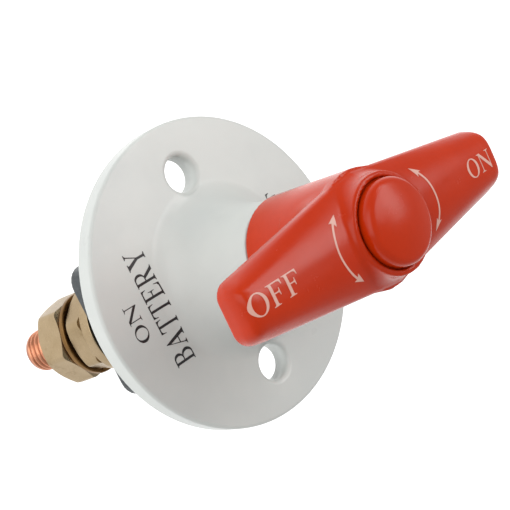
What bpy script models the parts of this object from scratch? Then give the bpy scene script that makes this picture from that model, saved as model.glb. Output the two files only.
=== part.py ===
"""Panel-mounted marine battery switch: flanged housing, T-lever, two splayed terminals.

Frame: the origin is the centre of the flange's rear face, which sits on the panel.
+Z runs along the switch axis out of the panel, towards the lever.
+X runs through one of the two mounting holes, and the lever lies along Y.
"""
import math

import bmesh
import bpy
from mathutils import Euler, Matrix, Vector

for old in list(bpy.data.objects):
    bpy.data.objects.remove(old, do_unlink=True)

# Driving dimensions, in metres
GAP = 0.0003                    # air between touching pieces
WELD = 0.00001                  # merge distance for turned shapes

FLANGE_R = 0.0350               # flange radius at its rear edge
PLATE_TOP = 0.0049              # front face of the flange plate
HOLE_PITCH_R = 0.0234           # mounting hole centre from the switch axis
HOLE_R = 0.0041
HOLE_MOUTH_R = 0.00515
BELL_FOOT_R = 0.0205            # where the neck's curve leaves the plate
NECK_TOP_R = 0.0116
NECK_TOP_Z = 0.0256
CAVITY_R = 0.0134               # contact chamber, shared by housing and base

BASE_HALF_X = 0.0154
BASE_HALF_Y = 0.0290
BASE_CORNER_R = 0.0042
BASE_TOP_Z = -GAP
BASE_KEEL_Z = -0.0196           # flat middle of the rear face
CHAMBER_FLOOR_Z = -0.0070

TERMINAL_TILT = math.radians(20.5)
TERMINAL_Y = 0.0206             # where a stud axis leaves the base
TERMINAL_Z = -0.0145
STUD_R = 0.0049
STUD_HEAD_HALF = 0.0069         # half width of the square stud head
BASE_FACE_S = -0.0014           # distances along the stud: the base's sloped rear face
STUD_TIP_S = 0.0248
STUD_SHOULDER_S = -0.0048
WASHER_S = (BASE_FACE_S + GAP, 0.0013)  # each piece on the stud: near and far face along it
INNER_NUT_S = (0.0018, 0.0066)
LOCK_WASHER_S = (0.0069, 0.0081)
OUTER_NUT_S = (0.0084, 0.0154)
WASHER_R = 0.0103
LOCK_WASHER_R = 0.0105
INNER_NUT_FLATS = 0.0172
OUTER_NUT_FLATS = 0.0178
CONTACT_Z = -0.0060             # flat contact face of the stud heads

SCREW_X = 0.0113
SCREW_Y = 0.0125
SCREW_SEAT_Z = -0.0125          # counterbore floor for the base screws
SCREW_TOP_Z = 0.0040

SHAFT_R = 0.00465
SHAFT_FLAT = 0.0033             # half distance across the shaft's two flats
SPIGOT_R = 0.0030
SHAFT_TOP_Z = 0.0450
DRIVE_LOW_Z = 0.0290            # the handle's flats start here
CARRIER_TOP_Z = 0.0060
CARRIER_LOW_Z = -0.0015
SPRING_ROOF_Z = 0.0012          # the contact spring bears on the carrier here
BUSH_LOW_Z = 0.0180
BUSH_TOP_Z = 0.0228
BUSH_OUT_R = 0.0062
HOUSING_BORE_R = 0.0065

BRIDGE_HALF_Y = 0.0130
BRIDGE_HALF_X = 0.0045
BRIDGE_TOP_Z = -0.0037
BRIDGE_THICK = 0.0014
DRIVE_LUG_LOW_Z = -0.0049       # the carrier's lugs reach down beside the bridge

BARREL_R = 0.0120
BARREL_LOW_Z = NECK_TOP_Z + 0.0006
LEVER_LOW_Z = 0.0478
LEVER_BAND_Z = 0.0503           # the upright side band ends and the crown starts
LEVER_TOP_Z = 0.0542            # ridge of the crowned top
LEVER_HALF_LENGTH = 0.0388
LEVER_MID_HALF = 0.0116
LEVER_OFF_HALF = 0.0056          # half width at the +Y end
LEVER_ON_HALF = 0.0066           # half width at the -Y end
LEVER_CORNER_R = 0.0029         # corner rounding in plan
LEVER_ROLL = 0.0018             # the crown rolls down over this length at each end
LEVER_EDGE = 0.0005             # chamfer along the lower edges
LEVER_SET = math.radians(-1.0)  # the lever rests a little off the line of the mounting holes
COLLAR_R = 0.0100
COLLAR_TOP_Z = 0.0553
CAP_R = 0.0085
CAP_SEAT_Z = 0.0546
CAP_CROWN_Z = 0.0590
RECESS_R = 0.0072
RECESS_FLOOR_Z = 0.0478

PARTS = bpy.data.collections.new("battery_switch")
CUTTERS = bpy.data.collections.new("cutters")
bpy.context.scene.collection.children.link(PARTS)
bpy.context.scene.collection.children.link(CUTTERS)


# Materials

def material(name, colour, roughness, metallic):
    made = bpy.data.materials.new(name)
    made.use_nodes = True
    shader = made.node_tree.nodes["Principled BSDF"]
    shader.inputs["Base Color"].default_value = (*colour, 1.0)
    shader.inputs["Roughness"].default_value = roughness
    shader.inputs["Metallic"].default_value = metallic
    return made


WHITE_ENAMEL = material("white_enamel", (0.66, 0.66, 0.64), 0.30, 0.0)
RED_PLASTIC = material("red_plastic", (0.62, 0.055, 0.020), 0.28, 0.0)
DARK_PHENOLIC = material("dark_phenolic", (0.035, 0.042, 0.048), 0.50, 0.0)
BROWN_PHENOLIC = material("brown_phenolic", (0.12, 0.055, 0.025), 0.55, 0.0)
BRASS = material("brass", (0.60, 0.43, 0.19), 0.28, 1.0)
COPPER = material("copper", (0.78, 0.36, 0.20), 0.30, 1.0)
BRONZE = material("bronze", (0.30, 0.18, 0.08), 0.38, 1.0)
STEEL = material("steel", (0.56, 0.56, 0.55), 0.32, 1.0)
SPRING_STEEL = material("spring_steel", (0.35, 0.35, 0.36), 0.30, 1.0)
RUBBER = material("rubber", (0.02, 0.02, 0.02), 0.75, 0.0)


# Object makers

def put(name, mesh, skin=None, parent=None):
    """A part when it has a material, otherwise a cutter."""
    made = bpy.data.objects.new(name, mesh)
    if skin is None:
        CUTTERS.objects.link(made)
        made.hide_render = True
        made.display_type = "WIRE"
    else:
        PARTS.objects.link(made)
        mesh.materials.append(skin)
    made.parent = parent
    return made


def finish_bmesh(bm, name):
    bmesh.ops.recalc_face_normals(bm, faces=bm.faces)
    mesh = bpy.data.meshes.new(name)
    bm.to_mesh(mesh)
    bm.free()
    mesh.shade_smooth()
    mesh.set_sharp_from_angle(angle=math.radians(35.0))
    return mesh


def turned(name, profile, steps, skin=None, parent=None, ring=False):
    """A profile of (radius, height) points, top to bottom on the outside, turned about Z."""
    count = len(profile)
    edges = [(i, i + 1) for i in range(count - 1)]
    if ring:
        edges.append((count - 1, 0))
    mesh = bpy.data.meshes.new(name)
    mesh.from_pydata([(r, 0.0, z) for r, z in profile], edges, [])
    made = put(name, mesh, skin, parent)
    screw = made.modifiers.new("turn", "SCREW")
    screw.axis = "Z"
    screw.steps = steps
    screw.render_steps = steps
    screw.use_merge_vertices = True
    screw.merge_threshold = WELD
    return made


def cylinder(name, radius, low, high, sides, skin=None, parent=None, turn=0.0):
    bm = bmesh.new()
    place = Matrix.Translation((0.0, 0.0, (low + high) / 2)) @ Matrix.Rotation(turn, 4, "Z")
    bmesh.ops.create_cone(bm, cap_ends=True, segments=sides, radius1=radius, radius2=radius,
                          depth=high - low, matrix=place)
    return put(name, finish_bmesh(bm, name), skin, parent)


def block(name, low, high, skin=None, parent=None):
    """A box between two opposite corners."""
    low = Vector(low)
    high = Vector(high)
    bm = bmesh.new()
    bmesh.ops.create_cube(bm, size=1.0)
    bmesh.ops.scale(bm, vec=high - low, verts=bm.verts)
    bmesh.ops.translate(bm, vec=(low + high) / 2, verts=bm.verts)
    return put(name, finish_bmesh(bm, name), skin, parent)


def double_d(name, radius, half_flat, low, high, sides=36):
    """A cylinder with two flats, at +X and -X."""
    bm = bmesh.new()
    bmesh.ops.create_cone(bm, cap_ends=True, segments=sides, radius1=radius, radius2=radius,
                          depth=high - low, matrix=Matrix.Translation((0, 0, (low + high) / 2)))
    for side in (1.0, -1.0):
        flat = bmesh.ops.bisect_plane(bm, geom=bm.verts[:] + bm.edges[:] + bm.faces[:],
                                      plane_co=(side * half_flat, 0.0, 0.0),
                                      plane_no=(side, 0.0, 0.0), clear_outer=True)
        rim = [item for item in flat["geom_cut"] if isinstance(item, bmesh.types.BMEdge)]
        bmesh.ops.holes_fill(bm, edges=rim, sides=0)
    return put(name, finish_bmesh(bm, name))


def combine(target, tool, operation):
    step = target.modifiers.new(operation.lower(), "BOOLEAN")
    step.operation = operation
    step.object = tool
    step.solver = "EXACT"


def cut(target, *tools):
    for tool in tools:
        combine(target, tool, "DIFFERENCE")


def arc(centre, radius_r, radius_z, start, end, points):
    """Points (radius, height) along an elliptical arc, angles in degrees."""
    made = []
    for i in range(points + 1):
        angle = math.radians(start + (end - start) * i / points)
        made.append((centre[0] + radius_r * math.cos(angle), centre[1] + radius_z * math.sin(angle)))
    return made


# Flanged housing

def flange_housing():
    """Round plate with a bell-shaped neck, hollow below, bored for the shaft bush."""
    edge_r = 0.0008
    bell_r = BELL_FOOT_R - NECK_TOP_R
    bell_z = NECK_TOP_Z - PLATE_TOP
    outside = [(NECK_TOP_R - 0.0004, NECK_TOP_Z)]
    outside += arc((BELL_FOOT_R, NECK_TOP_Z - 0.0004), bell_r, bell_z - 0.0004, 180.0, 270.0, 10)
    outside += [(0.0332, PLATE_TOP), (0.0336, PLATE_TOP + 0.0001)]
    outside += arc((0.0338, PLATE_TOP - edge_r), edge_r, edge_r, 75.0, 5.0, 3)
    outside += arc((FLANGE_R - 0.0005, 0.0005), 0.0005, 0.0005, 0.0, -90.0, 2)
    inside = [(CAVITY_R, 0.0), (CAVITY_R, 0.0062), (0.0098, 0.0105), (0.0088, BUSH_LOW_Z),
              (HOUSING_BORE_R, BUSH_LOW_Z), (HOUSING_BORE_R, NECK_TOP_Z)]
    housing = turned("flange_housing", outside + inside, 56, WHITE_ENAMEL, ring=True)
    for side, label in ((1.0, "a"), (-1.0, "b")):
        mouth = [(0.0, 0.0070), (0.0060, 0.0070), (0.0056, PLATE_TOP + 0.0001)]
        mouth += arc((HOLE_MOUTH_R + 0.0002, PLATE_TOP - 0.0010), 0.00125, 0.0010, 90.0, 180.0, 4)
        mouth += [(HOLE_R, -0.0020), (0.0, -0.0020)]
        hole = turned("mounting_hole_" + label, mouth, 28)
        hole.location.x = side * HOLE_PITCH_R
        cut(housing, hole)
    for number, (x, y) in enumerate(screw_places(), start=1):
        socket = cylinder("housing_screw_hole_%d" % number, 0.0017, -0.0020,
                          SCREW_TOP_Z + GAP, 16)
        socket.location = (x, y, 0.0)
        cut(housing, socket)
    for number, angle in enumerate(STOP_ANGLES, start=1):
        rib = block("stop_rib_%d" % number, (0.0104, -0.0015, 0.0012), (0.0150, 0.0015, 0.0060))
        rib.rotation_euler.z = angle
        combine(housing, rib, "UNION")
    return housing


def screw_places():
    return [(x, y) for y in (SCREW_Y, -SCREW_Y) for x in (SCREW_X, -SCREW_X)]


# Insulating base

def terminal_base(seats):
    """Moulded block with a round contact chamber, a pocket for each stud head, sloped rear faces."""
    bm = bmesh.new()
    bmesh.ops.create_cube(bm, size=1.0)
    size = Vector((2 * BASE_HALF_X, 2 * BASE_HALF_Y, BASE_TOP_Z - BASE_KEEL_Z))
    bmesh.ops.scale(bm, vec=size, verts=bm.verts)
    bmesh.ops.translate(bm, vec=(0.0, 0.0, (BASE_TOP_Z + BASE_KEEL_Z) / 2), verts=bm.verts)
    uprights = [e for e in bm.edges if abs(e.verts[0].co.z - e.verts[1].co.z) > 0.001]
    bmesh.ops.bevel(bm, geom=uprights, offset=BASE_CORNER_R, segments=6, profile=0.5,
                    affect="EDGES")
    base = put("terminal_base", finish_bmesh(bm, "terminal_base"), DARK_PHENOLIC)
    for label, seat in seats.items():
        slope = block("rear_slope_" + label, (-0.030, -0.030, BASE_FACE_S), (0.030, 0.034, 0.030),
                      parent=seat)
        cut(base, slope)
    soften = base.modifiers.new("soften", "BEVEL")
    soften.width = 0.0006
    soften.segments = 2
    soften.limit_method = "ANGLE"
    soften.angle_limit = math.radians(40.0)
    cut(base, cylinder("contact_chamber", CAVITY_R, CHAMBER_FLOOR_Z, 0.002, 48))
    cut(base, cylinder("spigot_socket", SPIGOT_R + GAP, -0.0110, 0.002, 24))
    pocket_half = STUD_HEAD_HALF + GAP
    for label, seat in seats.items():
        pocket = block("head_pocket_" + label, (-pocket_half, -pocket_half, -0.030),
                       (pocket_half, pocket_half, STUD_SHOULDER_S), parent=seat)
        bore = cylinder("stud_bore_" + label, STUD_R + GAP, -0.010, 0.010, 32, parent=seat)
        cut(base, pocket, bore)
    for number, (x, y) in enumerate(screw_places(), start=1):
        shank = cylinder("base_screw_bore_%d" % number, 0.0018, -0.030, 0.002, 16)
        sink = cylinder("base_screw_sink_%d" % number, 0.0028, -0.030, SCREW_SEAT_Z, 20)
        shank.location = (x, y, 0.0)
        sink.location = (x, y, 0.0)
        cut(base, shank, sink)
    return base


def base_screw(number, x, y):
    """Pan-head screw from the rear, with a straight slot."""
    top = SCREW_SEAT_Z - GAP
    profile = [(0.0, SCREW_TOP_Z), (0.0011, SCREW_TOP_Z), (0.0015, SCREW_TOP_Z - 0.0005),
               (0.0015, top), (0.0025, top), (0.0025, top - 0.0012),
               (0.0020, top - 0.0018), (0.0, top - 0.0020)]
    screw = turned("base_screw_%d" % number, profile, 16, STEEL)
    slot = block("base_screw_slot_%d" % number, (-0.0030, -0.0004, top - 0.0030),
                 (0.0030, 0.0004, top - 0.0012))
    cut(screw, slot)
    slot.parent = screw
    screw.location = (x, y, 0.0)
    slot.rotation_euler.z = math.radians(35.0 * number)


# Terminals: each is built along its own stud axis, +Z local pointing out of the base

def terminal_seat(label, turn):
    seat = bpy.data.objects.new("terminal_seat_" + label, None)
    PARTS.objects.link(seat)
    half_turn = Euler((math.pi + TERMINAL_TILT, 0.0, 0.0)).to_matrix()
    spin = Matrix.Rotation(turn, 3, "Z")
    seat.location = spin @ Vector((0.0, TERMINAL_Y, TERMINAL_Z))
    seat.rotation_euler = (spin @ half_turn).to_euler()
    return seat


def terminal_stud(label, seat):
    """Square-headed stud; its head is faced off level, where the moving contact bears on it."""
    shank = [(0.0, STUD_TIP_S), (STUD_R - 0.0012, STUD_TIP_S), (STUD_R - 0.0004, STUD_TIP_S - 0.0004),
             (STUD_R, STUD_TIP_S - 0.0012), (STUD_R, STUD_SHOULDER_S - 0.0020),
             (0.0, STUD_SHOULDER_S - 0.0020)]
    stud = turned("terminal_stud_" + label, shank, 28, COPPER, parent=seat)
    half = STUD_HEAD_HALF
    head = block("stud_head_" + label, (-half, -half, -0.0200), (half, half, STUD_SHOULDER_S - GAP),
                 parent=seat)
    facing = block("stud_facing_" + label, (-0.040, -0.050, CONTACT_Z), (0.040, 0.050, 0.030))
    cut(head, facing)
    combine(stud, head, "UNION")
    return stud


def flat_washer(label, seat):
    outer = WASHER_R
    bore = STUD_R + GAP
    low, high = WASHER_S
    profile = [(outer - 0.0002, high), (outer, high - 0.0002), (outer, low), (bore, low), (bore, high)]
    return turned("terminal_washer_" + label, profile, 36, BRASS, parent=seat, ring=True)


def hex_nut(name, seat, span, across_flats, turn):
    """Hexagon with both rims chamfered, bored to clear the thread."""
    low, high = span
    corner_r = across_flats / math.sqrt(3.0)
    nut = cylinder(name, corner_r, low, high, 6, BRASS, parent=seat, turn=turn)
    flat_r = across_flats / 2 * 0.96
    drop = (corner_r - flat_r) * math.tan(math.radians(30.0))
    rim_r = corner_r + 0.0006
    over = 0.0006 * math.tan(math.radians(30.0))
    chamfer = [(0.0, high + WELD), (flat_r, high + WELD), (rim_r, high - drop - over),
               (rim_r, low + drop + over), (flat_r, low - WELD), (0.0, low - WELD)]
    tool = turned(name + "_chamfer", chamfer, 30, parent=seat)
    tool.rotation_euler.z = turn + math.radians(5.0)
    combine(nut, tool, "INTERSECT")
    cut(nut, cylinder(name + "_bore", STUD_R + GAP, low - 0.001, high + 0.001, 28, parent=seat))
    return nut


def lock_washer(label, seat):
    """Split spring washer between the two nuts."""
    outer = LOCK_WASHER_R
    bore = STUD_R + GAP
    low, high = LOCK_WASHER_S
    profile = [(outer - 0.0003, high), (outer, high - 0.0003), (outer, low), (bore, low), (bore, high)]
    washer = turned("lock_washer_" + label, profile, 32, BRONZE, parent=seat, ring=True)
    split = block("lock_washer_split_" + label, (0.002, -0.0004, low - 0.001),
                  (0.014, 0.0004, high + 0.001), parent=seat)
    split.rotation_euler = (math.radians(20.0), 0.0, math.radians(200.0))
    cut(washer, split)
    return washer


# Shaft, bearing and seal

def shaft():
    """Turned spindle: two flats at each end, a clip groove, and a pilot in the base's floor."""
    profile = [(0.0, SHAFT_TOP_Z), (SHAFT_R - 0.0005, SHAFT_TOP_Z), (SHAFT_R, SHAFT_TOP_Z - 0.0005),
               (SHAFT_R, 0.0168), (0.0040, 0.0168), (0.0040, 0.0156), (SHAFT_R, 0.0156),
               (SHAFT_R, SPRING_ROOF_Z), (SPIGOT_R, SPRING_ROOF_Z), (SPIGOT_R, -0.0101),
               (SPIGOT_R - 0.0006, -0.0107), (0.0, -0.0107)]
    made = turned("shaft", profile, 28, STEEL)
    for side, label in ((1.0, "a"), (-1.0, "b")):
        for low, high, end in ((DRIVE_LOW_Z, 0.050, "top"), (-0.0030, CARRIER_TOP_Z, "low")):
            near = side * SHAFT_FLAT
            far = side * 0.010
            flat = block("shaft_flat_%s_%s" % (end, label), (min(near, far), -0.010, low),
                         (max(near, far), 0.010, high))
            cut(made, flat)
    cut(made, cylinder("shaft_screw_hole", 0.0023, 0.0335, 0.050, 20))
    return made


def shaft_bush():
    profile = [(BUSH_OUT_R - 0.0003, BUSH_TOP_Z), (BUSH_OUT_R, BUSH_TOP_Z - 0.0003),
               (BUSH_OUT_R, BUSH_LOW_Z), (SHAFT_R + 0.00008, BUSH_LOW_Z),
               (SHAFT_R + 0.00008, BUSH_TOP_Z)]
    return turned("shaft_bush", profile, 28, BRASS, ring=True)


def shaft_seal():
    minor = 0.0006
    height = 0.0239
    centre_r = (SHAFT_R + HOUSING_BORE_R) / 2
    profile = arc((centre_r, height), minor, minor, 90.0, -225.0, 7)
    return turned("shaft_seal", profile, 28, RUBBER, ring=True)


def retaining_clip():
    """Open ring in the shaft's groove, under the bush."""
    low = 0.0158
    high = 0.0166
    profile = [(0.0064, high), (0.0064, low), (0.0042, low), (0.0042, high)]
    clip = turned("retaining_clip", profile, 28, SPRING_STEEL, ring=True)
    mouth = block("clip_mouth", (0.0, -0.0026, low - 0.001), (0.009, 0.0026, high + 0.001))
    mouth.rotation_euler.z = math.radians(60.0)
    cut(clip, mouth)
    return clip


def thrust_washer():
    profile = [(0.0068, 0.0177), (0.0068, 0.0170), (SHAFT_R + 0.0002, 0.0170),
               (SHAFT_R + 0.0002, 0.0177)]
    return turned("thrust_washer", profile, 28, STEEL, ring=True)


# Moving contact

STOP_TAB_ANGLE = math.radians(225.0)
STOP_GAP_ANGLE = math.radians(21.5)
QUARTER_TURN = math.radians(90.0)
STOP_ANGLES = (STOP_TAB_ANGLE - STOP_GAP_ANGLE, STOP_TAB_ANGLE + QUARTER_TURN + STOP_GAP_ANGLE)


def contact_carrier():
    """Insulating rotor on the shaft's flats; two lugs drive the bridge, a tab meets the stops."""
    profile = [(0.0078, CARRIER_TOP_Z - GAP), (0.0085, CARRIER_TOP_Z - 0.0010), (0.0085, 0.0008),
               (0.0108, 0.0006), (0.0110, 0.0004), (0.0110, CARRIER_LOW_Z), (0.0054, CARRIER_LOW_Z),
               (0.0054, SPRING_ROOF_Z), (0.0030, SPRING_ROOF_Z), (0.0030, CARRIER_TOP_Z - GAP)]
    carrier = turned("contact_carrier", profile, 32, BROWN_PHENOLIC, ring=True)
    for side, label in ((1.0, "a"), (-1.0, "b")):
        near = side * (BRIDGE_HALF_X + 0.0004)
        far = side * 0.0096
        lug = block("drive_lug_" + label, (min(near, far), -0.0042, DRIVE_LUG_LOW_Z),
                    (max(near, far), 0.0042, -0.0005))
        combine(carrier, lug, "UNION")
    tab = block("stop_tab", (0.0070, -0.0020, 0.0016), (0.0124, 0.0020, 0.0048))
    tab.rotation_euler.z = STOP_TAB_ANGLE
    combine(carrier, tab, "UNION")
    cut(carrier, double_d("carrier_drive", SHAFT_R + 0.0002, SHAFT_FLAT + 0.0002, -0.006, 0.010))
    return carrier


def contact_bridge():
    """Copper bar that joins the two stud heads, with round ends and a raised pad at each end."""
    low = BRIDGE_TOP_Z - BRIDGE_THICK
    bar = cylinder("contact_bridge", BRIDGE_HALF_Y, low, BRIDGE_TOP_Z, 64, COPPER)
    trim = block("bridge_trim", (-BRIDGE_HALF_X, -0.020, low - 0.001),
                 (BRIDGE_HALF_X, 0.020, BRIDGE_TOP_Z + 0.001))
    combine(bar, trim, "INTERSECT")
    for side, label in ((1.0, "a"), (-1.0, "b")):
        pad = cylinder("bridge_pad_" + label, 0.0012, CONTACT_Z + GAP, low + 0.0003, 16)
        pad.location.y = side * 0.0116
        combine(bar, pad, "UNION")
    cut(bar, cylinder("bridge_hole", SPIGOT_R + 0.0004, low - 0.001, BRIDGE_TOP_Z + 0.001, 32))
    return bar


def contact_spring():
    """Compression coil that holds the bridge on the stud heads."""
    wire_r = 0.00045
    coil_r = 0.0045
    low = BRIDGE_TOP_Z + GAP + wire_r
    high = SPRING_ROOF_Z - GAP - wire_r
    turns = 3.5
    per_turn = 14
    count = int(turns * per_turn) + 1
    curve = bpy.data.curves.new("contact_spring", "CURVE")
    curve.dimensions = "3D"
    curve.bevel_depth = wire_r
    curve.bevel_resolution = 1
    curve.use_fill_caps = True
    line = curve.splines.new("POLY")
    line.points.add(count - 1)
    for i in range(count):
        part = i / (count - 1)
        angle = 2 * math.pi * turns * part
        line.points[i].co = (coil_r * math.cos(angle), coil_r * math.sin(angle),
                             low + (high - low) * part, 1.0)
    guide = put("contact_spring_line", curve)
    wire = bpy.data.meshes.new_from_object(guide.evaluated_get(bpy.context.evaluated_depsgraph_get()))
    bpy.data.objects.remove(guide, do_unlink=True)
    bm = bmesh.new()
    bm.from_mesh(wire)
    bmesh.ops.remove_doubles(bm, verts=bm.verts, dist=WELD)
    return put("contact_spring", finish_bmesh(bm, "contact_spring"), SPRING_STEEL)


# Handle

def lever_bar(name, low, band, crown, inset=0.0, skin=None):
    """Bar along Y, widest at the middle, with upright sides and a crowned top between rolled ends."""
    shares = (-1.0, -0.93, -0.80, -0.60, -0.32, 0.0, 0.32, 0.60, 0.80, 0.93, 1.0)
    arm = []
    for degrees in (0.0, 22.5, 45.0, 67.5, 90.0):
        angle = math.radians(degrees)
        y = LEVER_HALF_LENGTH - LEVER_CORNER_R * (1.0 - math.cos(angle))
        tuck = LEVER_CORNER_R * (1.0 - math.sin(angle))
        rise = min(1.0, 0.55 + (LEVER_HALF_LENGTH - y) / LEVER_ROLL * 0.45)
        arm.append((y, tuck, math.sin(rise * math.pi / 2)))
    arm.append((LEVER_HALF_LENGTH / 2, 0.0, 1.0))
    stations = [(-y, tuck, rise) for y, tuck, rise in arm]
    stations.append((0.0, 0.0, 1.0))
    stations += [(y, tuck, rise) for y, tuck, rise in reversed(arm)]
    bm = bmesh.new()
    sections = []
    for y, tuck, rise in stations:
        end_half = LEVER_OFF_HALF if y > 0.0 else LEVER_ON_HALF
        narrowing = (LEVER_MID_HALF - end_half) * abs(y) / LEVER_HALF_LENGTH
        half = LEVER_MID_HALF - narrowing - tuck - inset
        edge = LEVER_EDGE
        ring = [(-half, y, low + edge), (edge - half, y, low), (half - edge, y, low), (half, y, low + edge)]
        if crown > 0.0:
            power = 2.3 + 1.4 * abs(y) / LEVER_HALF_LENGTH
            for share in reversed(shares):
                ring.append((half * share, y, band + crown * rise * (1.0 - abs(share) ** power)))
        else:
            ring += [(half, y, band), (-half, y, band)]
        sections.append([bm.verts.new(point) for point in ring])
    for near, far in zip(sections, sections[1:]):
        for i in range(len(near)):
            j = (i + 1) % len(near)
            bm.faces.new((near[i], near[j], far[j], far[i]))
    bm.faces.new(sections[0])
    bm.faces.new(list(reversed(sections[-1])))
    made = put(name, finish_bmesh(bm, name), skin)
    made.rotation_euler.z = LEVER_SET
    return made


def handle():
    """T-lever on a round barrel, with a flared root, a collar for the cap, and a shaft socket."""
    lever = lever_bar("handle", LEVER_LOW_Z, LEVER_BAND_Z, LEVER_TOP_Z - LEVER_BAND_Z,
                      skin=RED_PLASTIC)

    flare_r = 0.0200
    flare_low_z = 0.0385
    flare = [(0.0, LEVER_LOW_Z + 0.0012), (flare_r, LEVER_LOW_Z + 0.0012), (flare_r, LEVER_LOW_Z)]
    flare += arc((flare_r, flare_low_z), flare_r - BARREL_R + 0.0004, LEVER_LOW_Z - flare_low_z,
                 90.0, 180.0, 7)[1:]
    flare.append((0.0, flare_low_z))
    root = turned("flared_root", flare, 40)
    plan = lever_bar("flare_plan", flare_low_z - 0.002, LEVER_LOW_Z + 0.003, 0.0, inset=0.0002)
    combine(root, plan, "INTERSECT")
    combine(lever, root, "UNION")

    barrel = [(0.0, LEVER_LOW_Z + 0.0016), (BARREL_R - 0.0012, LEVER_LOW_Z + 0.0016),
              (BARREL_R, LEVER_LOW_Z + 0.0004), (BARREL_R, BARREL_LOW_Z + 0.0005),
              (BARREL_R - 0.0005, BARREL_LOW_Z), (0.0, BARREL_LOW_Z)]
    combine(lever, turned("barrel", barrel, 44), "UNION")
    collar = [(0.0, COLLAR_TOP_Z), (COLLAR_R - 0.0004, COLLAR_TOP_Z),
              (COLLAR_R, COLLAR_TOP_Z - 0.0004), (COLLAR_R, LEVER_LOW_Z + 0.0010),
              (0.0, LEVER_LOW_Z + 0.0010)]
    combine(lever, turned("collar", collar, 40), "UNION")
    recess = [(0.0, 0.060), (CAP_R + GAP, 0.060), (CAP_R + GAP, CAP_SEAT_Z), (RECESS_R, CAP_SEAT_Z),
              (RECESS_R, RECESS_FLOOR_Z), (0.0028, RECESS_FLOOR_Z), (0.0028, SHAFT_TOP_Z - 0.001),
              (0.0, SHAFT_TOP_Z - 0.001)]
    recess_tool = turned("cap_recess", recess, 36)
    recess_tool.rotation_euler.z = LEVER_SET
    cut(lever, recess_tool)
    cut(lever, double_d("shaft_socket", SHAFT_R + GAP, SHAFT_FLAT + GAP, 0.020, SHAFT_TOP_Z + GAP))
    cut(lever, cylinder("socket_mouth", SHAFT_R + 0.0005, 0.020, DRIVE_LOW_Z, 36))
    return lever


def handle_washer():
    low = RECESS_FLOOR_Z + GAP
    high = low + 0.0009
    profile = [(0.0060, high), (0.0060, low), (0.0028, low), (0.0028, high)]
    return turned("handle_washer", profile, 24, STEEL, ring=True)


def handle_screw():
    """Cheese-head screw that holds the handle on the shaft, under the cap."""
    seat = RECESS_FLOOR_Z + 0.0015
    head_top = seat + 0.0024
    profile = [(0.0, head_top), (0.0042, head_top), (0.0045, head_top - 0.0004), (0.0045, seat),
               (0.0020, seat), (0.0020, 0.0352), (0.0014, 0.0346), (0.0, 0.0346)]
    screw = turned("handle_screw", profile, 24, STEEL)
    slot = block("handle_screw_slot", (-0.006, -0.0006, head_top - 0.0012),
                 (0.006, 0.0006, head_top + 0.001))
    slot.rotation_euler.z = math.radians(25.0)
    cut(screw, slot)
    return screw


def handle_cap():
    """Domed plug in the collar, hiding the screw."""
    dome = arc((0.0, 0.0562), CAP_R, CAP_CROWN_Z - 0.0562, 90.0, 0.0, 6)
    profile = dome + [(CAP_R, CAP_SEAT_Z + GAP), (RECESS_R - GAP, CAP_SEAT_Z + GAP),
                      (RECESS_R - GAP, 0.0528), (RECESS_R - 0.0018, 0.0525),
                      (RECESS_R - 0.0018, 0.0540), (0.0, 0.0545)]
    return turned("handle_cap", profile, 36, RED_PLASTIC)


# Assembly

SEATS = {"a": terminal_seat("a", 0.0), "b": terminal_seat("b", math.pi)}

flange_housing()
terminal_base(SEATS)
for index, place in enumerate(screw_places(), start=1):
    base_screw(index, *place)

for letter, empty in SEATS.items():
    terminal_stud(letter, empty)
    flat_washer(letter, empty)
    hex_nut("inner_nut_" + letter, empty, INNER_NUT_S, INNER_NUT_FLATS, math.radians(-3.0))
    lock_washer(letter, empty)
    hex_nut("outer_nut_" + letter, empty, OUTER_NUT_S, OUTER_NUT_FLATS, math.radians(22.0))

shaft()
shaft_bush()
shaft_seal()
retaining_clip()
thrust_washer()
contact_carrier()
contact_bridge()
contact_spring()
handle()
handle_washer()
handle_screw()
handle_cap()
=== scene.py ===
"""Looks for the panel-mounted battery switch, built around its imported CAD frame.

Lengths are in millimetres in this file and become metres when a mesh is made.
The frame's +Z is the switch axis, +X runs through a mounting hole, the lever lies along Y.
"""
import math

import bmesh
import bpy
import numpy as np
from mathutils import Matrix, Vector
from mathutils.geometry import delaunay_2d_cdt


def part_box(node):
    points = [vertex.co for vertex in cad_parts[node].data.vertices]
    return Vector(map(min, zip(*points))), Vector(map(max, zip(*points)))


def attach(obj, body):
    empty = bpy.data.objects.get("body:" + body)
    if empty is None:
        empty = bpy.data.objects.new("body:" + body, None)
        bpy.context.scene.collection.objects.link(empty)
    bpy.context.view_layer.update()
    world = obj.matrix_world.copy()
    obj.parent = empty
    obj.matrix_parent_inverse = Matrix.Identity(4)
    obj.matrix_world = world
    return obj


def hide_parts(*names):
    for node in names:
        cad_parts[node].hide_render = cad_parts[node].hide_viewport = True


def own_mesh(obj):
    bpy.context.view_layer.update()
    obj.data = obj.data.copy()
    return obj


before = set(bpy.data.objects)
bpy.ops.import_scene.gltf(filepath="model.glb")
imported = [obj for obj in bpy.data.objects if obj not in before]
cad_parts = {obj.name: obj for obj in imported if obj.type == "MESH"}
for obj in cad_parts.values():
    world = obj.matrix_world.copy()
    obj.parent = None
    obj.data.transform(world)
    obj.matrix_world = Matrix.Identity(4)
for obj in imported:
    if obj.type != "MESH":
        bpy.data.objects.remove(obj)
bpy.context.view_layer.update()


MM = 0.001


def box_mm(node):
    """Low and high corner of a frame node, in millimetres."""
    low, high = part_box(node)
    return [c / MM for c in low], [c / MM for c in high]


# Sizes, in millimetres. Overall ones come from the frame.

_, HOUSING_HIGH = box_mm("flange_housing")
HANDLE_LOW, HANDLE_HIGH = box_mm("handle")
CAP_LOW, CAP_HIGH = box_mm("handle_cap")

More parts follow.
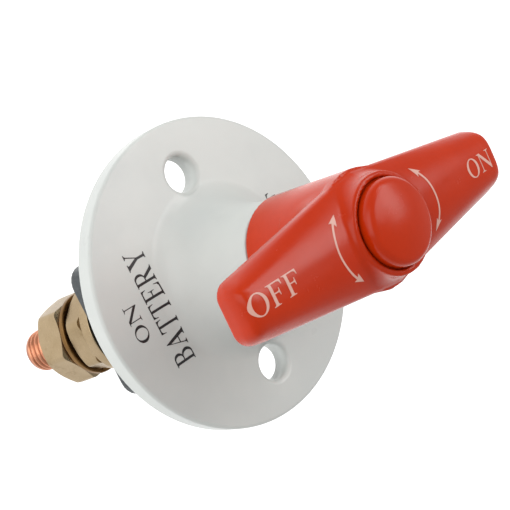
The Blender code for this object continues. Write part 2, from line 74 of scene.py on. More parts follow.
# Flange, its two mounting holes and the bell. CAVITY is (height, radius) up the bore.
FLANGE_R = HOUSING_HIGH[0]
NECK_TOP = HOUSING_HIGH[2]
NECK_EDGE = 0.4
PLATE_TOP = 4.9
PLATE_EDGE = 0.8
PLATE_REAR_EDGE = 0.5
PLATE_FLAT_R = 27.0
HOLE_PITCH = 23.4
HOLE_R = 4.1
HOLE_MOUTH = 1.25
HOLE_MOUTH_DEPTH = 1.0
HOLE_FRONT_ROUND = 1.1
HOLE_REAR_ROUND = 0.25
BELL_FOOT_R = 20.5
NECK_R = 11.6
CAVITY = ((0.0, 13.4), (6.2, 13.4), (10.5, 9.8), (18.0, 8.8), (18.05, 6.5), (25.6, 6.5))
SCREW_HOLE_R = 1.7
SCREW_HOLE_TOP = 4.3
TOOL_REACH = 2.0

# Handle: barrel, collar, and a lever bar whose crown falls away at both ends
BARREL_R = 12.0
BARREL_LOW = HANDLE_LOW[2]
BARREL_TOP = 50.0
LOW_EDGE = 0.6
COLLAR_R = 10.0
COLLAR_LOW = 46.0
COLLAR_TOP = HANDLE_HIGH[2]
COLLAR_EDGE = 0.45
COLLAR_FILLET = 1.5
LEVER_LOW = 47.8
LEVER_BAND = 50.3
LEVER_CROWN = 3.9
LEVER_LENGTH = 38.8
LEVER_MID = 11.6
LEVER_OFF_END = 5.6
LEVER_ON_END = 6.6
LEVER_CORNER = 2.7
LEVER_SET = math.radians(-1.0)
CROWN_POWER = 2.3
CROWN_POWER_RISE = 1.4
CROWN_SLANT = 0.85
END_FALL_RUN = 3.0
END_FALL = 1.5
ARM_EDGE = 0.5
END_EDGE_RUN = 4.5
END_EDGE_RISE = 1.5
FLARE_R = 20.0
FLARE_LOW = 38.5
FLARE_TOP = 49.0
FLARE_RADII = (8.4, 9.3)
FLARE_INSET = 0.8
FLARE_ROUND = 1.6
FLARE_FILLET = 0.8
CAP_SEAT_R = 8.8
CAP_SEAT = 54.6
RECESS_R = 7.2
RECESS_FLOOR = 47.8
SOCKET_R = 5.15
SOCKET_TOP = 45.3
SCREW_CLEAR_R = 2.8
HOLLOW_EDGE = 0.25

# Cap: a shallow dome, a rolled shoulder and a plug that fits the recess
CAP_R = 8.5
CAP_TOP = CAP_HIGH[2]
CAP_LOW_Z = CAP_LOW[2]
CAP_GAP = 0.3
CAP_WALL = 1.5
SHOULDER = (6.6, CAP_TOP - 2.8)
SHOULDER_R = 1.9
SHOULDER_START = 74.5

# Terminals: heights run along the stud, from the frame's washer out to the tip
TERMINAL_TILT = math.radians(20.5)
WASHER_SPAN = (-1.1, 1.3)
WASHER_R = 10.3
INNER_NUT_SPAN = (1.8, 6.6)
INNER_NUT_FLATS = 17.2
INNER_NUT_TURN = math.radians(-3.0)
LOCK_SPAN = (6.9, 8.1)
LOCK_R = 9.5
RING_BORE_R = 5.2
OUTER_NUT_SPAN = (8.4, 15.8)
OUTER_NUT_FLATS = 17.8
OUTER_NUT_TURN = math.radians(22.0)
STUD_TIP = 24.8
STUD_SHOULDER = -5.1
STUD_FACE_R = 2.6
STUD_DOME = 3.2
STUD_HEAD_HALF = 6.9
STUD_HEAD_HEIGHT = 14.0
CONTACT_FACE_Z = -6.0
THREAD_PITCH = 1.25
THREAD_CREST = 4.88
THREAD_ROOT = 4.58
SHANK_R = THREAD_ROOT + 0.3


# Distance-like fields: negative inside, in millimetres

def round_max(a, b, radius):
    """Intersection whose outer corner is an arc of this radius."""
    return (np.minimum(np.maximum(a, b), -radius)
            + np.hypot(np.maximum(a + radius, 0.0), np.maximum(b + radius, 0.0)))


def round_min(a, b, radius):
    """Union whose inner corner is a fillet of this radius."""
    return -round_max(-a, -b, radius)


def lever_plan(x, y):
    """The lever's outline from above, and its half width at each point."""
    taper = (LEVER_MID - np.where(y > 0.0, LEVER_OFF_END, LEVER_ON_END)) / LEVER_LENGTH
    half = LEVER_MID - taper * np.abs(y)
    slant = np.cos(np.arctan(taper))
    return round_max((np.abs(x) - half) * slant, np.abs(y) - LEVER_LENGTH, LEVER_CORNER), half


def bar_field(x, y, z):
    """The lever bar: a crowned top that falls away and rounds more towards both ends."""
    plan, half = lever_plan(x, y)
    share = np.clip(np.abs(x) / half, 0.0, 1.2)
    power = CROWN_POWER + CROWN_POWER_RISE * np.abs(y) / LEVER_LENGTH
    near_end = np.clip((LEVER_LENGTH - np.abs(y)) / END_FALL_RUN, 0.0, 1.0)
    roll = END_FALL * (1.0 - np.sqrt(1.0 - (1.0 - near_end) ** 2 * 0.999))
    end_share = np.clip((np.abs(y) - LEVER_LENGTH + END_EDGE_RUN) / END_EDGE_RUN, 0.0, 1.0)
    top = (z - (LEVER_BAND + (LEVER_CROWN - roll) * (1.0 - share ** power))) * CROWN_SLANT
    bar = round_max(plan, top, ARM_EDGE + END_EDGE_RISE * end_share)
    return round_max(bar, LEVER_LOW - z, LOW_EDGE), plan


def handle_hollow(r, z):
    """Cap seat, recess, screw hole and shaft socket, one under the other."""
    seat = np.maximum(r - CAP_SEAT_R, CAP_SEAT - z)
    recess = np.maximum(r - RECESS_R, RECESS_FLOOR - z)
    clear = np.maximum(r - SCREW_CLEAR_R, SOCKET_TOP - 1.0 - z)
    socket = np.maximum(r - SOCKET_R, z - SOCKET_TOP)
    return np.minimum(np.minimum(seat, recess), np.minimum(clear, socket))


def handle_field(p):
    """Barrel, flare, lever bar and collar, less what is hollow inside."""
    x, y, z = p[:, 0], p[:, 1], p[:, 2]
    r = np.hypot(x, y)
    bar, plan = bar_field(x, y, z)
    out = np.maximum(FLARE_R - r, 0.0) / FLARE_RADII[0]
    up = np.maximum(z - FLARE_LOW, 0.0) / FLARE_RADII[1]
    flare = (1.0 - np.hypot(out, up)) * FLARE_RADII[0]
    flare = np.maximum(round_max(flare, plan + FLARE_INSET, FLARE_ROUND), z - FLARE_TOP)
    flare = np.maximum(flare, FLARE_LOW - 1.0 - z)
    barrel = np.maximum(round_max(r - BARREL_R, BARREL_LOW - z, LOW_EDGE), z - BARREL_TOP)
    solid = round_min(round_min(barrel, flare, FLARE_FILLET), bar, ARM_EDGE)
    collar = np.maximum(round_max(r - COLLAR_R, z - COLLAR_TOP, COLLAR_EDGE), COLLAR_LOW - z)
    solid = round_min(solid, collar, COLLAR_FILLET)
    return round_max(solid, -handle_hollow(r, z), HOLLOW_EDGE)


def housing_field(p):
    """Flange plate and bell, less the mounting holes and the bore."""
    x, y, z = p[:, 0], p[:, 1], p[:, 2]
    r = np.hypot(x, y)
    plate = round_max(round_max(r - FLANGE_R, z - PLATE_TOP, PLATE_EDGE), -z, PLATE_REAR_EDGE)
    out = np.maximum(BELL_FOOT_R - r, 0.0) / (BELL_FOOT_R - NECK_R)
    up = np.maximum(NECK_TOP - NECK_EDGE - z, 0.0) / (NECK_TOP - NECK_EDGE - PLATE_TOP)
    bell = (1.0 - np.hypot(out, up)) * (BELL_FOOT_R - NECK_R)
    bell = np.maximum(round_max(bell, z - NECK_TOP, NECK_EDGE), r - BELL_FOOT_R - 1.0)
    solid = np.minimum(plate, np.maximum(bell, -z))
    for side in (1.0, -1.0):
        away = HOLE_R - np.hypot(x - side * HOLE_PITCH, y)
        round_r = np.where(z > PLATE_TOP / 2, HOLE_FRONT_ROUND, HOLE_REAR_ROUND)
        solid = round_max(solid, away, round_r)
    cavity = np.interp(z, [h for h, _ in CAVITY], [w for _, w in CAVITY])
    return np.maximum(solid, cavity - r)


def slope(field, p, reach=0.01):
    """The field's gradient at each point."""
    made = np.empty_like(p)
    for k in range(3):
        step = np.zeros(3)
        step[k] = reach
        made[:, k] = (field(p + step) - field(p - step)) / (2 * reach)
    return made


def pull(field, p, times):
    """Newton steps that bring points onto the field's surface."""
    for _ in range(times):
        g = slope(field, p)
        size = np.maximum((g * g).sum(1), 0.05)
        p = p - g * np.clip(field(p) / size, -0.4, 0.4)[:, None]
    return p


def net(field, low, high, step):
    """Quads over the field's surface: one point for each grid cell that it crosses."""
    axes = [np.arange(a, b + step, step) for a, b in zip(low, high)]
    shape = tuple(len(a) for a in axes)
    grid = np.stack(np.meshgrid(*axes, indexing="ij"), -1).reshape(-1, 3)
    inside = (field(grid) < 0.0).reshape(shape)
    count = sum(inside[i:shape[0] - 1 + i, j:shape[1] - 1 + j, k:shape[2] - 1 + k].astype(int)
                for i in (0, 1) for j in (0, 1) for k in (0, 1))
    mixed = (count > 0) & (count < 8)
    cells = np.argwhere(mixed)
    number = np.full(mixed.shape, -1)
    number[mixed] = np.arange(len(cells))
    points = np.stack([axes[k][cells[:, k]] + step / 2 for k in range(3)], 1)
    quads = []
    for k in range(3):
        a, b = (k + 1) % 3, (k + 2) % 3
        near = np.take(inside, range(0, shape[k] - 1), axis=k)
        far = np.take(inside, range(1, shape[k]), axis=k)
        at = np.argwhere(near != far)
        outward = near[near != far]
        ring = []
        for da, db in ((0, 0), (-1, 0), (-1, -1), (0, -1)):
            cell = at.copy()
            cell[:, a] += da
            cell[:, b] += db
            ring.append(number[cell[:, 0], cell[:, 1], cell[:, 2]])
        ring = np.stack(ring, 1)
        ring[~outward] = ring[~outward][:, ::-1]
        quads.append(ring)
    quads = np.concatenate(quads)
    ends = np.concatenate([quads[:, [i, (i + 1) % 4]] for i in range(4)])
    degree = np.bincount(ends.ravel(), minlength=len(points)).astype(float)
    points = pull(field, points, 3)
    for _ in range(3):
        total = np.zeros_like(points)
        np.add.at(total, ends[:, 0], points[ends[:, 1]])
        np.add.at(total, ends[:, 1], points[ends[:, 0]])
        points = points * 0.5 + total / degree[:, None] * 0.5
        points = pull(field, points, 2)
    return pull(field, points, 4), quads


# Mesh makers

def shade_along(mesh, normals):
    """The mesh is shaded along these directions, one for each vertex."""
    size = np.maximum(np.linalg.norm(normals, axis=1, keepdims=True), 1e-9)
    mesh.shade_smooth()
    mesh.normals_split_custom_set_from_vertices((normals / size).tolist())


def make(name, points, faces, normals=None):
    """A smooth object from points in millimetres."""
    mesh = bpy.data.meshes.new(name)
    mesh.from_pydata((np.asarray(points, float) * MM).tolist(), [], [list(map(int, f)) for f in faces])
    mesh.update()
    if normals is None:
        mesh.shade_smooth()
        mesh.set_sharp_from_angle(angle=math.radians(32.0))
    else:
        shade_along(mesh, normals)
    made = bpy.data.objects.new(name, mesh)
    bpy.context.scene.collection.objects.link(made)
    return made


def soften(profile, radius, points=3, closed=False):
    """Every corner of a line of (radius, height) points becomes a small arc."""
    made = []
    count = len(profile)
    for i, here in enumerate(profile):
        if not closed and i in (0, count - 1):
            made.append(here)
            continue
        before, after = profile[i - 1], profile[(i + 1) % count]
        into = (here[0] - before[0], here[1] - before[1])
        out = (after[0] - here[0], after[1] - here[1])
        reach_in, reach_out = math.hypot(*into), math.hypot(*out)
        turn = abs(math.remainder(math.atan2(out[1], out[0]) - math.atan2(into[1], into[0]), math.tau))
        if turn < 0.3:
            made.append(here)
            continue
        back = min(radius, reach_in * 0.45)
        on = min(radius, reach_out * 0.45)
        start = (here[0] - into[0] / reach_in * back, here[1] - into[1] / reach_in * back)
        end = (here[0] + out[0] / reach_out * on, here[1] + out[1] / reach_out * on)
        for j in range(points + 1):
            t = j / points
            made.append(tuple((1 - t) ** 2 * start[c] + 2 * t * (1 - t) * here[c] + t * t * end[c]
                              for c in (0, 1)))
    return made


def turned(name, profile, steps, ring=False, shape=None):
    """A line of (radius, height) points, from the top down the outside, turned about Z.
    shape(angle, radius, height) may bend each row out of round."""
    angles = [math.tau * i / steps for i in range(steps)]
    points, faces = [], []
    rows = []
    for r, h in profile:
        if r < 1e-6:
            rows.append([len(points)] * steps)
            points.append((0.0, 0.0, h))
            continue
        rows.append(list(range(len(points), len(points) + steps)))
        for angle in angles:
            far, high = shape(angle, r, h) if shape else (r, h)
            points.append((far * math.cos(angle), far * math.sin(angle), high))
    pairs = list(zip(rows, rows[1:])) + ([(rows[-1], rows[0])] if ring else [])
    for upper, lower in pairs:
        for i in range(steps):
            j = (i + 1) % steps
            face = [upper[i], lower[i], lower[j], upper[j]]
            face = [v for n, v in enumerate(face) if v not in face[:n]]
            if len(face) > 2:
                faces.append(face)
    return make(name, points, faces)


def arc(centre, radius, start, end, points):
    """Points along part of an ellipse, from one angle in degrees to another."""
    made = []
    for i in range(points + 1):
        angle = math.radians(start + (end - start) * i / points)
        made.append((centre[0] + radius[0] * math.cos(angle), centre[1] + radius[1] * math.sin(angle)))
    return made


def carve(target, tools):
    """Cuts the tools out of the target."""
    for tool in tools:
        step = target.modifiers.new("cut", "BOOLEAN")
        step.object = tool
        step.operation = "DIFFERENCE"
        step.solver = "EXACT"
    bpy.context.view_layer.update()
    shown = target.evaluated_get(bpy.context.evaluated_depsgraph_get())
    mesh = bpy.data.meshes.new_from_object(shown)
    target.modifiers.clear()
    target.data = mesh
    for tool in tools:
        bpy.data.objects.remove(tool, do_unlink=True)


def shade_by(target, field):
    """The mesh takes its normals from the field that describes the same surface."""
    mesh = target.data
    points = np.empty(len(mesh.vertices) * 3)
    mesh.vertices.foreach_get("co", points)
    shade_along(mesh, slope(field, points.reshape(-1, 3) / MM))


# Materials

class Look:
    """A Principled material with helpers for its node chains, in object space."""

    def __init__(self, name, roughness, metallic=0.0, **constants):
        self.material = bpy.data.materials.new(name)
        self.material.use_nodes = True
        self.tree = self.material.node_tree
        self.shader = self.tree.nodes["Principled BSDF"]
        self.shader.inputs["Roughness"].default_value = roughness
        self.shader.inputs["Metallic"].default_value = metallic
        for key, value in constants.items():
            self.shader.inputs[key.replace("_", " ")].default_value = value
        self.place = self.node("ShaderNodeTexCoord").outputs["Object"]

    def node(self, kind, **settings):
        made = self.tree.nodes.new(kind)
        for key, value in settings.items():
            setattr(made, key, value)
        return made

    def feed(self, socket, value):
        if isinstance(value, bpy.types.NodeSocket):
            self.tree.links.new(value, socket)
        else:
            socket.default_value = value

    def stretch(self, x, y, z):
        made = self.node("ShaderNodeMapping")
        self.feed(made.inputs["Vector"], self.place)
        made.inputs["Scale"].default_value = (x, y, z)
        return made.outputs["Vector"]

    def noise(self, scale, detail=3.0, rough=0.55, vector=None):
        made = self.node("ShaderNodeTexNoise")
        self.feed(made.inputs["Vector"], vector or self.place)
        made.inputs["Scale"].default_value = scale
        made.inputs["Detail"].default_value = detail
        made.inputs["Roughness"].default_value = rough
        return made.outputs["Fac"]

    def specks(self, scale):
        made = self.node("ShaderNodeTexVoronoi")
        self.feed(made.inputs["Vector"], self.place)
        made.inputs["Scale"].default_value = scale
        return made.outputs["Distance"]

    def rings(self, scale, distortion=0.6):
        """Fine turning marks about the object's own Z axis."""
        made = self.node("ShaderNodeTexWave", wave_type="RINGS", rings_direction="Z")
        self.feed(made.inputs["Vector"], self.place)
        made.inputs["Scale"].default_value = scale
        made.inputs["Distortion"].default_value = distortion
        made.inputs["Detail"].default_value = 2.0
        return made.outputs["Fac"]

    def math(self, kind, a, b=0.0):
        made = self.node("ShaderNodeMath", operation=kind)
        self.feed(made.inputs[0], a)
        self.feed(made.inputs[1], b)
        return made.outputs[0]

    def radius(self):
        """Distance from the object's Z axis, in metres."""
        split = self.node("ShaderNodeSeparateXYZ")
        self.feed(split.inputs[0], self.place)
        square = self.math("ADD", self.math("POWER", self.math("ABSOLUTE", split.outputs[0]), 2.0),
                           self.math("POWER", self.math("ABSOLUTE", split.outputs[1]), 2.0))
        return self.math("SQRT", square)

    def height(self):
        split = self.node("ShaderNodeSeparateXYZ")
        self.feed(split.inputs[0], self.place)
        return split.outputs[2]

    def span(self, value, low, high, to_low=0.0, to_high=1.0):
        made = self.node("ShaderNodeMapRange", interpolation_type="SMOOTHSTEP")
        self.feed(made.inputs["Value"], value)
        for key, number in (("From Min", low), ("From Max", high), ("To Min", to_low), ("To Max", to_high)):
            made.inputs[key].default_value = number
        return made.outputs["Result"]

    def blend(self, share, a, b):
        made = self.node("ShaderNodeMix", data_type="RGBA")
        self.feed(made.inputs["Factor"], share)
        for key, value in ((6, a), (7, b)):
            self.feed(made.inputs[key], value if isinstance(value, bpy.types.NodeSocket) else (*value, 1.0))
        return made.outputs[2]

    def colour(self, value):
        self.feed(self.shader.inputs["Base Color"], value)
        return self

    def rough(self, value):
        self.feed(self.shader.inputs["Roughness"], value)
        return self

    def bump(self, *layers):
        """Layers of (height socket, strength, distance in metres), one over the other."""
        last = None
        for height, strength, distance in layers:
            made = self.node("ShaderNodeBump")
            made.inputs["Strength"].default_value = strength
            made.inputs["Distance"].default_value = distance
            self.feed(made.inputs["Height"], height)
            if last:
                self.feed(made.inputs["Normal"], last)
            last = made.outputs["Normal"]
        self.feed(self.shader.inputs["Normal"], last)
        return self


def enamel_look():
    """Sprayed enamel on a casting: a cloudy tone, a faint orange peel and a rim rubbed in places."""
    look = Look("white_enamel_sprayed", 0.34, Specular_IOR_Level=0.35, Coat_Weight=0.08,
                Coat_Roughness=0.16)
    cloud = look.span(look.noise(45.0, 4.0), 0.3, 0.7)
    base = look.blend(cloud, (0.580, 0.606, 0.586), (0.630, 0.652, 0.624))
    edge = look.span(look.radius(), (FLANGE_R - 0.6) * MM, (FLANGE_R - 0.1) * MM)
    worn = look.math("MULTIPLY", edge, look.span(look.noise(260.0, 5.0, 0.7), 0.60, 0.72))
    base = look.blend(look.math("MULTIPLY", worn, 0.25), base, (0.45, 0.45, 0.44))
    look.colour(base)
    look.rough(look.span(look.noise(60.0, 3.0, 0.5), 0.25, 0.75, 0.27, 0.36))
    peel, grain = look.noise(420.0, 1.0), look.noise(2600.0, 2.0)
    return look.bump((peel, 0.08, 0.0003), (grain, 0.05, 0.0001)).material


def moulded_look(name, dark, light, low, high, peel):
    """Moulded plastic: a slow colour drift, polish that varies and a faint mould texture."""
    look = Look(name, (low + high) / 2, Specular_IOR_Level=0.24)
    drift = look.span(look.noise(28.0, 3.0), 0.3, 0.7)
    fine = look.noise(900.0, 3.0, 0.6)
    base = look.blend(drift, dark, light)
    base = look.blend(look.span(fine, 0.35, 0.75, 0.0, 0.12), base, tuple(c * 0.72 for c in dark))
    look.colour(base)
    look.rough(look.span(look.noise(150.0, 5.0, 0.65), 0.30, 0.72, low, high))
    return look.bump((look.noise(260.0, 2.0), peel, 0.0003), (fine, peel * 0.5, 0.00006)).material


def phenolic_look(name, dark, light, roughness):
    """Filled phenolic moulding: wood-flour mottling, pinholes, dull polish."""
    look = Look(name, roughness, Specular_IOR_Level=0.45)
    mottle = look.span(look.noise(700.0, 5.0, 0.7), 0.35, 0.68)
    broad = look.span(look.noise(60.0, 3.0), 0.3, 0.7)
    base = look.blend(mottle, dark, light)
    base = look.blend(look.math("MULTIPLY", broad, 0.35), base, tuple(c * 1.5 for c in light))
    look.colour(base)
    look.rough(look.span(look.noise(180.0, 4.0), 0.3, 0.7, roughness - 0.10, roughness + 0.10))
    pits = look.span(look.specks(900.0), 0.02, 0.12)
    return look.bump((look.noise(420.0, 3.0), 0.18, 0.0003), (pits, 0.10, 0.0001)).material


def metal_look(name, bright, dull, tarnish, low, high, ring_scale=0.0, mark=0.12):
    """Machined metal: tone drift, tarnish in patches, turning marks about its axis, handling marks."""
    look = Look(name, (low + high) / 2, 1.0)
    drift = look.span(look.noise(110.0, 4.0), 0.30, 0.70)
    patch = look.span(look.noise(300.0, 6.0, 0.68), 0.56, 0.74)
    base = look.blend(drift, bright, dull)
    base = look.blend(look.math("MULTIPLY", patch, 0.55), base, tarnish)
    look.colour(base)
    scuff = look.noise(500.0, 6.0, 0.7, look.stretch(1.0, 1.0, 5.0))
    look.rough(look.span(scuff, 0.28, 0.72, low, high))
    layers = [(scuff, mark, 0.00012)]
    if ring_scale:
        layers.append((look.rings(ring_scale), mark * 1.2, 0.00006))
    return look.bump(*layers).material


def thread_look(name, bright, dull, root):
    """Rolled copper thread: bright crests, darker roots, short scratches."""
    look = Look(name, 0.3, 1.0)
    deep = look.span(look.radius(), THREAD_ROOT * MM, (THREAD_CREST - 0.15) * MM, 1.0, 0.0)
    drift = look.span(look.noise(260.0, 5.0, 0.62), 0.32, 0.68)
    base = look.blend(drift, bright, dull)
    inside_end = look.span(look.height(), (STUD_TIP - 0.9) * MM, (STUD_TIP - 0.3) * MM, 1.0, 0.0)
    base = look.blend(look.math("MULTIPLY", look.math("MULTIPLY", deep, inside_end), 0.75), base, root)
    look.colour(base)
    scuff = look.noise(800.0, 6.0, 0.7)
    look.rough(look.span(scuff, 0.3, 0.7, 0.24, 0.44))
    return look.bump((scuff, 0.16, 0.00012)).material


def ink_look(name, colour, thin, roughness):
    """Screen-printed ink: slightly uneven cover and a soft grain."""
    look = Look(name, roughness)
    cover = look.span(look.noise(1500.0, 4.0, 0.65), 0.52, 0.78)
    look.colour(look.blend(look.math("MULTIPLY", cover, 0.45), colour, thin))
    look.rough(look.span(look.noise(700.0, 3.0), 0.3, 0.7, roughness - 0.07, roughness + 0.07))
    return look.bump((look.noise(2200.0, 2.0), 0.12, 0.00005)).material


def floor_look():
    """Pale matt paper, lit a little from within so that it stays even."""
    look = Look("pale_floor", 0.9, Specular_IOR_Level=0.1)
    look.colour(look.blend(look.noise(9.0, 3.0), (0.900, 0.900, 0.900), (0.935, 0.935, 0.935)))
    look.rough(look.span(look.noise(60.0, 3.0), 0.3, 0.7, 0.84, 0.94))
    look.shader.inputs["Emission Color"].default_value = (1.0, 1.0, 1.0, 1.0)
    look.shader.inputs["Emission Strength"].default_value = FLOOR_GLOW
    return look.bump((look.noise(300.0, 3.0), 0.03, 0.0005)).material


ENAMEL = enamel_look()
RED = moulded_look("red_moulded", (0.49, 0.026, 0.001), (0.56, 0.034, 0.002), 0.20, 0.28, 0.04)
DARK = phenolic_look("dark_phenolic_moulded", (0.020, 0.026, 0.030), (0.042, 0.052, 0.058), 0.46)
BROWN = phenolic_look("brown_phenolic_moulded", (0.09, 0.040, 0.018), (0.15, 0.075, 0.036), 0.52)
BRASS = metal_look("brass_machined", (0.40, 0.305, 0.19), (0.325, 0.24, 0.138), (0.20, 0.135, 0.06),
                   0.24, 0.40, 260.0)
BRONZE = metal_look("bronze_spring", (0.27, 0.155, 0.060), (0.17, 0.090, 0.030), (0.07, 0.035, 0.015),
                    0.26, 0.46, 260.0)
COPPER = thread_look("copper_thread", (0.70, 0.325, 0.195), (0.62, 0.25, 0.14), (0.32, 0.10, 0.045))
COPPER_BAR = metal_look("copper_bar", (0.83, 0.36, 0.22), (0.72, 0.27, 0.15), (0.36, 0.12, 0.06),
                        0.28, 0.44, 180.0)
STEEL = metal_look("steel_zinc", (0.60, 0.60, 0.59), (0.50, 0.50, 0.49), (0.28, 0.26, 0.23),
                   0.26, 0.42, 260.0)
SPRING = metal_look("spring_steel_oiled", (0.34, 0.34, 0.35), (0.26, 0.26, 0.27), (0.12, 0.11, 0.10),
                    0.26, 0.40)
RUBBER = phenolic_look("rubber_seal", (0.012, 0.012, 0.012), (0.026, 0.026, 0.026), 0.72)
PALE_INK = ink_look("pale_ink", (0.68, 0.38, 0.31), (0.64, 0.25, 0.18), 0.38)
BLACK_INK = ink_look("black_ink", (0.012, 0.012, 0.013), (0.06, 0.06, 0.06), 0.42)


def piece(made, skin, body, node=None):
    """Gives an object its look and the body it rides on, and hides the frame node it stands for."""
    made.data.materials.clear()
    made.data.materials.append(skin)
    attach(made, body)
    if node:
        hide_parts(node)
    return made


# Handle

TURN = np.array(Matrix.Rotation(LEVER_SET, 3, "Z"))
HANDLE_STEP = 0.48


def handle_piece():
    """The handle's skin, netted from its field and turned to the lever's rest angle."""
    low, high = (-14.0, -40.5, BARREL_LOW - 1.0), (14.0, 40.5, COLLAR_TOP + 1.0)
    points, quads = net(handle_field, low, high, HANDLE_STEP)
    normals = slope(handle_field, points)
    made = make("handle_shell", points @ TURN.T, quads, normals @ TURN.T)
    return piece(made, RED, "lever", "handle")


def cap_piece():
    """A parabolic crown, the rolled shoulder, then the plug down to its open underside."""
    rows = 14
    crown_r = SHOULDER[0] + SHOULDER_R * math.cos(math.radians(SHOULDER_START))
    crown_z = SHOULDER[1] + SHOULDER_R * math.sin(math.radians(SHOULDER_START))
    drop = CAP_TOP - crown_z
    profile = [(crown_r * i / rows, CAP_TOP - drop * (i / rows) ** 2) for i in range(rows)]
    profile += arc(SHOULDER, (SHOULDER_R, SHOULDER_R), SHOULDER_START, 0.0, 12)
    plug_r, rim_z = RECESS_R - CAP_GAP, CAP_SEAT + CAP_GAP
    inside_r = plug_r - CAP_WALL
    profile += soften([(CAP_R, SHOULDER[1] - 0.3), (CAP_R, rim_z), (plug_r, rim_z),
                       (plug_r, CAP_LOW_Z + 0.3), (inside_r, CAP_LOW_Z),
                       (inside_r, CAP_LOW_Z + 1.5), (0.0, CAP_LOW_Z + 2.0)], 0.25)
    return piece(turned("cap_dome", profile, 128), RED, "lever", "handle_cap")


handle_piece()
cap_piece()


# Flanged housing

def hole_tool(side):
    """Cutter for one mounting hole, with a rounded mouth."""
    mouth = [(0.0, PLATE_TOP + 2.1), (6.0, PLATE_TOP + 2.1), (5.6, PLATE_TOP + 0.1)]
    mouth += arc((HOLE_R + HOLE_MOUTH, PLATE_TOP - HOLE_MOUTH_DEPTH), (HOLE_MOUTH, HOLE_MOUTH_DEPTH),
                 90.0, 180.0, 8)
    mouth += [(HOLE_R, -TOOL_REACH), (0.0, -TOOL_REACH)]
    tool = turned("hole_tool", mouth, 64)
    tool.location.x = side * HOLE_PITCH * MM
    return tool


def socket_tool(node):
    """Cutter for the blind hole that a base screw goes into."""
    low, high = box_mm(node)
    tool = turned("socket_tool", [(0.0, SCREW_HOLE_TOP), (SCREW_HOLE_R, SCREW_HOLE_TOP),
                                  (SCREW_HOLE_R, -TOOL_REACH), (0.0, -TOOL_REACH)], 24)
    tool.location = ((low[0] + high[0]) / 2 * MM, (low[1] + high[1]) / 2 * MM, 0.0)
    return tool


def housing_piece():
    """The flange and bell as one turned ring, with the holes cut into it."""
    profile = [(NECK_R - NECK_EDGE, NECK_TOP)]
    profile += arc((BELL_FOOT_R, NECK_TOP - NECK_EDGE),
                   (BELL_FOOT_R - NECK_R, NECK_TOP - NECK_EDGE - PLATE_TOP), 180.0, 270.0, 26)
    profile += [(PLATE_FLAT_R, PLATE_TOP)]
    profile += arc((FLANGE_R - PLATE_EDGE, PLATE_TOP - PLATE_EDGE), (PLATE_EDGE, PLATE_EDGE),
                   90.0, 0.0, 8)
    profile += arc((FLANGE_R - PLATE_REAR_EDGE, PLATE_REAR_EDGE), (PLATE_REAR_EDGE, PLATE_REAR_EDGE),
                   0.0, -90.0, 5)
    profile += [(w, h) for h, w in CAVITY[:-1]] + [(CAVITY[-1][1], NECK_TOP)]
    made = turned("flange_shell", profile, 160, ring=True)
    tools = [hole_tool(side) for side in (1.0, -1.0)]
    tools += [socket_tool("base_screw_%d" % number) for number in range(1, 5)]
    carve(made, tools)
    shade_by(made, housing_field)
    return piece(made, ENAMEL, "switch_body", "flange_housing")


housing_piece()


# Terminals, each along its own stud axis

def seat_matrix(label, spin):
    """The stud's axis frame, from where the frame's washer lies."""
    low, high = box_mm("terminal_washer_" + label)
    centre = Vector([(a + b) / 2 for a, b in zip(low, high)])
    turn = Matrix.Rotation(spin, 4, "Z") @ Matrix.Rotation(math.pi + TERMINAL_TILT, 4, "X")
    along = turn.to_3x3() @ Vector((0.0, 0.0, 1.0))
    origin = centre - along * (sum(WASHER_SPAN) / 2)
    return Matrix.Translation(origin * MM) @ turn


def thread_radius(height, angle):
    """A helical thread with softened flanks."""
    phase = (height / THREAD_PITCH - angle / math.tau) % 1.0
    rise = 1.0 - abs(2.0 * phase - 1.0)
    flank = min(1.0, max(0.0, (rise - 0.12) / 0.72))
    flank = flank * flank * (3.0 - 2.0 * flank) * 0.35 + flank * 0.65
    return THREAD_ROOT + (THREAD_CREST - THREAD_ROOT) * flank


def add_stud_head(made, seat):
    """A square head in the base, cut level with the face that the contact bar lands on."""
    bm = bmesh.new()
    bm.from_mesh(made.data)
    head = bmesh.ops.create_cube(bm, size=1.0)["verts"]
    size = Vector((2 * STUD_HEAD_HALF, 2 * STUD_HEAD_HALF, STUD_HEAD_HEIGHT)) * MM
    middle = (STUD_SHOULDER - 0.02 - STUD_HEAD_HEIGHT / 2) * MM
    bmesh.ops.scale(bm, vec=size, verts=head)
    bmesh.ops.translate(bm, vec=(0.0, 0.0, middle), verts=head)
    back = seat.inverted()
    contact = back @ Vector((0.0, 0.0, CONTACT_FACE_Z * MM))
    level = back.to_3x3() @ Vector((0.0, 0.0, 1.0))
    parts = set(head)
    edges = [e for e in bm.edges if e.verts[0] in parts]
    faces = [f for f in bm.faces if f.verts[0] in parts]
    cut = bmesh.ops.bisect_plane(bm, geom=head + edges + faces, plane_co=contact, plane_no=level,
                                 clear_outer=True)
    rim = [g for g in cut["geom_cut"] if isinstance(g, bmesh.types.BMEdge)]
    bmesh.ops.holes_fill(bm, edges=rim, sides=0)
    bm.to_mesh(made.data)
    bm.free()


